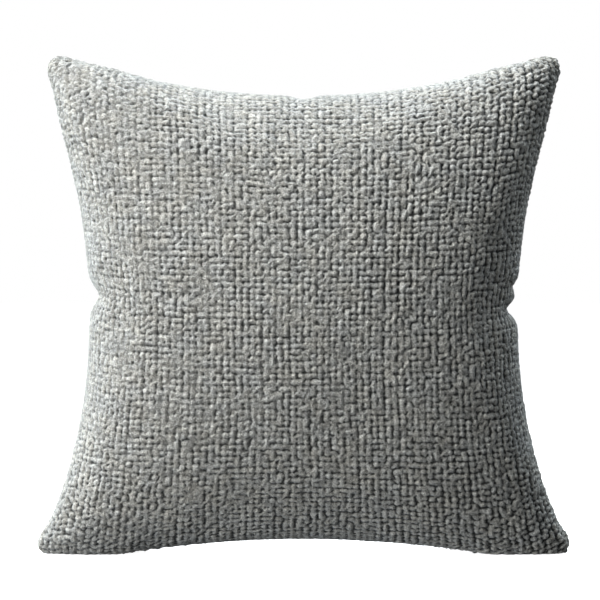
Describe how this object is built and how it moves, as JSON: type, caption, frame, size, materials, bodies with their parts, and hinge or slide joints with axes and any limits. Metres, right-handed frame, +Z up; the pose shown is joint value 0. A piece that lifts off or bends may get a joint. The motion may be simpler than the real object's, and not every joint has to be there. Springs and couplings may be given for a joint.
{
  "type": "throw pillow",
  "caption": "Square throw pillow with a chunky woven cover, knife-edge seams, a bottom zip and a fibre-filled insert, standing on its bottom corners.",
  "frame": {"origin": "on the surface that the pillow stands on, under the middle of the pillow", "axes": "+X along the bottom edge to the right as seen from the front, +Z up, the front face looks along -Y"},
  "size_m": [0.4528, 0.1662, 0.4232],
  "materials": {
    "woven_cover": "matt, chunky slubby plain weave of grey yarn",
    "insert_lining": "matt, fine plain weave",
    "polyester_fibre": "matt, loose crimped fibre",
    "sewing_thread": "twisted thread",
    "zip_tape": "fine herringbone tape",
    "zip_teeth": "satin nylon",
    "zip_metal": "satin"
  },
  "bodies": {
    "pillow": {"cover_front_panel": "woven_cover", "cover_back_panel": "woven_cover", "cover_seam_thread": "sewing_thread", "insert_front_panel": "insert_lining", "insert_back_panel": "insert_lining", "insert_seam_thread": "sewing_thread", "fibre_fill": "polyester_fibre", "zip_tape_front": "zip_tape", "zip_tape_back": "zip_tape", "zip_sewing_front": "sewing_thread", "zip_sewing_back": "sewing_thread", "zip_teeth_front": "zip_teeth", "zip_teeth_back": "zip_teeth", "zip_top_stop_front": "zip_metal", "zip_top_stop_back": "zip_metal", "zip_bottom_stop": "zip_metal"},
    "slider": {"zip_slider": "zip_metal"},
    "pull": {"zip_pull": "zip_metal"}
  },
  "joints": [
    {"name": "zip_slide", "type": "slide", "parent": "pillow", "child": "slider", "axis": [1, 0, 0], "range_m": [0, 0.25], "deforming": ["zip_teeth_front", "zip_teeth_back"]},
    {"name": "pull_hinge", "type": "hinge", "parent": "slider", "child": "pull", "pos_m": [-0.128, 0, 0.01235], "axis": [0, 1, 0], "range_deg": [0, 170]}
  ]
}
